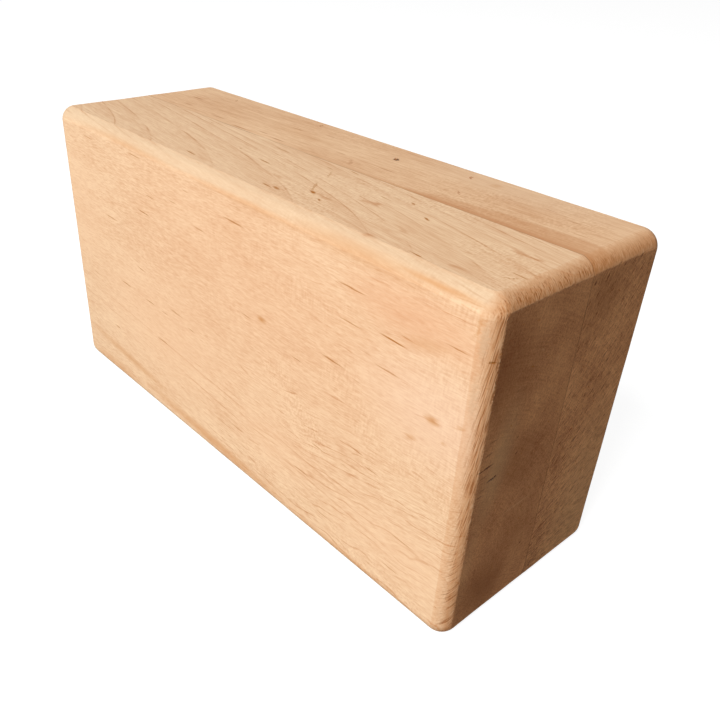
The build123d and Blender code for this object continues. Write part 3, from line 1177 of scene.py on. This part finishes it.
# %% The front board's alder
front_alder = {
    # Where the pith lies and how it leans, and how the fibres sway, drift and fan out
    "pith": (50.0, -43.0, 28.0), "lean": (0, 0.073, 0), "arc_radius": 60.0,
    "sway_mm": 0.7, "drift": 0.12, "fan_from": 30.0, "fan_to": 130.0, "fan_mm": 12.0,
    "fan_low": -24.0, "fan_high": 38.0, "fan_top": 76.0,
    # Rings
    "ring_edges": (81.1, 83.1, 86.1, 89.0, 91.4, 92.7, 94.7, 97.0, 99.0, 101.0, 102.8),
    "line_mm": 0.5, "line_tone": 0.5, "late_tone": 0.1,
    # Layers of the sides
    "pale": "#F7D5AE", "deep": "#CE966A", "mean_tone": 0.28, "top_share": 0.76,
    "fibre_tone": 1.15, "vessel_tone": 0.68, "grain_tone": 0.36, "band_tone": 0.3,
    "cloud_tone": 0.45, "ray_tone": 0.85, "hair_tone": 0.6, "hair_mm": 3.2,
    # Flecks and dashes
    "fleck_cell": (34.0, 1.9, 6.0), "fleck_share": 0.6, "fleck_depth": 0.95, "fleck": "#B06814",
    "dashes": front_board_dashes,
    # Ends
    "end_round": "#CB8A55", "end_pale": "#EEAD77", "end_deep": "#965A35", "end_tone": 0.52,
    "pore_tone": 1.0, "end_ray_tone": 0.5, "end_ring_tone": 0.4, "crack_tone": 0.2,
    "end_relief": -0.12, "torn_tone": 0.74, "torn_relief": -0.13, "end_ticks": front_end_ticks_and_hollow_shade,
    # Patches, each with its colour and how soft it is: 0 fades from its middle
    "end_patches": [
        (end_shade, "#8E562F", 0.0), (end_grey, "#D8AC7C", 0.0), (end_scratches, "#D8A478", 0.2)],
    "patches": [
        (front_board_pale_and_arris_highlight, "#F8CEA6", 0.0), (front_board_rosy, "#FCDABE", 0.0),
        (front_board_warm, "#E9AE85", 0.0), (painted_round_highlight, "#CCB597", 0.3),
        (front_board_blotches_and_shade, "#CC8C50", 0.0)],
}
print("years in the front board:", len(front_alder["ring_edges"]) - 1)

# %% [markdown]
# ## The redder rear board
# Two boards from one tree are seldom alike. Its pith lay further off, so its rings are flatter, and
# its fibres run straight.

# %% The rear board's alder
rear_alder = {
    **front_alder,
    "pith": (50.0, -50.0, -5.0), "lean": (0, -0.034, 0), "arc_radius": 90.0,
    "fan_mm": 0.0, "drift": 0.0,
    "ring_edges": (130.0, 133.5, 136.0, 138.6, 141.8, 144.0, 147.4, 149.6, 152.5),
    "line_tone": 0.16, "late_tone": 0.06,
    "pale": "#F5CEA5", "deep": "#C78D60",
    "fibre_tone": 1.1, "vessel_tone": 0.7, "grain_tone": 0.32, "cloud_tone": 0.6, "hair_tone": 0.0,
    "fleck": "#A65618", "dashes": rear_board_dashes,
    "end_tone": 0.36, "pore_tone": 1.05, "end_ray_tone": 1.2, "crack_tone": 1.0,
    "end_relief": -0.18, "torn_tone": 0.4, "torn_relief": -0.06, "end_ticks": rear_end_ticks,
    "end_patches": [(rear_end_pale_and_painted_light, "#EEBA84", 0.0), (rear_end_painted_shade, "#8E562F", 0.0)],
    "patches": [
        (rear_board_pale, "#F2D0AC", 0.0), (dense_wedge, "#C88C5C", 0.8),
        (glue_side, "#C08050", 0.2), (rear_board_blotches, "#C98B54", 0.0),
        (pin_knot_and_hole_shade, "#341A0C", 0.5)],
}
print("years in the rear board:", len(rear_alder["ring_edges"]) - 1)

# %% [markdown]
# ## Dressing the boards
# Each board gets its own material, rides on the brick's one body and takes the place of its solid.
# One material for both would be less work, but the boards would then match, and the real ones don't.

# %% Dress the boards
dressing = (
    (front_board, "front_board", front_alder),
    (rear_board, "rear_board", rear_alder),
)
for board, node, finish in dressing:
    board.data.materials.clear()
    board.data.materials.append(sanded_alder(node + "_sanded_alder", finish))
    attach(board, "root")
    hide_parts(node)

# %% [markdown]
# ## Floor
# The floor is a plain sheet of paper. To the camera it is nearly white and still takes the brick's
# shadow; to the light that bounces it is a dark grey, so that it does not flood the shaded end. A
# plain white sheet would be simpler, but it would light the end from below. A Light Path node tells
# the two apart.

# %% Floor
FLOOR_SIZE = 8.0
WHITE = "#FFFFFF"
PAPER_IN_LIGHT = "#959595"
PAPER_TO_BOUNCES = "#909090"
PAPER_GLOW = 0.92


def seen_directly(tree):
    """1 for a ray from the camera, also by way of gloss or glass, and 0 for light that bounces."""
    ray = add(tree, "ShaderNodeLightPath")
    seen = add(tree, "ShaderNodeMath", {
        0: ray.outputs["Is Camera Ray"], 1: ray.outputs["Is Glossy Ray"]}, operation="MAXIMUM")
    return add(tree, "ShaderNodeMath", {
        0: seen, 1: ray.outputs["Is Transmission Ray"]}, operation="MAXIMUM")


bpy.ops.object.select_all(action="DESELECT")
bpy.ops.mesh.primitive_plane_add(size=FLOOR_SIZE, location=(0, 0, brick_low.z))
floor = bpy.context.object
floor.name = "pale_floor"
# Matt white paper has no gloss at all: the eye sees an even white and a soft grey shadow.
paper = bpy.data.materials.new("matt_white_paper")
paper.use_nodes = True
tree = paper.node_tree
tree.nodes.clear()
seen = seen_directly(tree)
grey = add(tree, "ShaderNodeBsdfDiffuse", {"Color": linear(PAPER_TO_BOUNCES)})
shade = add(tree, "ShaderNodeBsdfDiffuse", {"Color": linear(PAPER_IN_LIGHT)})
white = add(tree, "ShaderNodeEmission", {"Color": linear(WHITE), "Strength": PAPER_GLOW})
sheet = add(tree, "ShaderNodeAddShader", {0: shade, 1: white})
both = add(tree, "ShaderNodeMixShader", {0: seen, 1: grey, 2: sheet})
add(tree, "ShaderNodeOutputMaterial", {"Surface": both})
floor.data.materials.append(paper)
print("floor at z:", brick_low.z)

# %% [markdown]
# ## Lamp
# One large soft lamp stands in front, above and a little to the right, so that it just grazes the end
# and shows its scratches. A sun lamp would give the same direction, but with hard shadows.

# %% Lamp
LAMP_WAY = Vector((0.14, -0.735, 0.662))
LAMP_DISTANCE = 1.8
LAMP_SIZE = 0.7
LAMP_POWER = 38.6

bpy.ops.object.light_add(
    type="AREA", location=brick_centre + LAMP_WAY.normalized() * LAMP_DISTANCE)
lamp = bpy.context.object
lamp.name = "soft_lamp"
lamp.data.shape = "SQUARE"
lamp.data.size = LAMP_SIZE
lamp.data.energy = LAMP_POWER
lamp.rotation_euler = (brick_centre - lamp.location).to_track_quat("-Z", "Y").to_euler()
print("lamp at:", tuple(round(c, 3) for c in lamp.location))

# %% [markdown]
# ## Sky
# A dim even sky fills the shadows. It is white to the camera, like the paper, so that the floor and
# the background run into each other, and dim to everything else.

# %% Sky
SKY_STRENGTH = 0.1

sky = bpy.data.worlds.new("even_sky")
bpy.context.scene.world = sky
sky.use_nodes = True
tree = sky.node_tree
tree.nodes.clear()
seen = seen_directly(tree)
strength = add(tree, "ShaderNodeMapRange", {"Value": seen, "To Min": SKY_STRENGTH, "To Max": 1.0})
light = add(tree, "ShaderNodeBackground", {"Color": linear(WHITE), "Strength": strength})
add(tree, "ShaderNodeOutputWorld", {"Surface": light})
bpy.context.scene.view_settings.view_transform = "Standard"
print("sky strength:", SKY_STRENGTH)

# %% [markdown]
# ## Camera
# The camera stands close, in front of the right-hand end and above, so the brick runs away from it
# to the left. Its place, aim, tilt and lens were found by matching the brick's outline and edges.

# %% Camera
CAMERA_PLACE = Vector((204.98, -175.76, 195.33)) * MM
CAMERA_AIM = Vector((16.98, -2.35, 36.43)) * MM
CAMERA_ROLL = math.radians(2.51)
LENS = 38.41
SENSOR_WIDTH = 36.0
SHIFT = (0.0486, 0.0207)
NEAREST = 0.01

bpy.ops.object.camera_add(location=CAMERA_PLACE)
camera = bpy.context.object
level = (CAMERA_AIM - CAMERA_PLACE).to_track_quat("-Z", "Y").to_matrix()
camera.rotation_euler = (level @ Matrix.Rotation(CAMERA_ROLL, 3, "Z")).to_euler()
camera.data.sensor_width = SENSOR_WIDTH
camera.data.lens = LENS
camera.data.shift_x, camera.data.shift_y = SHIFT
camera.data.clip_start = NEAREST
camera.data.dof.use_dof = False
bpy.context.scene.camera = camera
print("camera at:", tuple(round(c, 4) for c in camera.location))
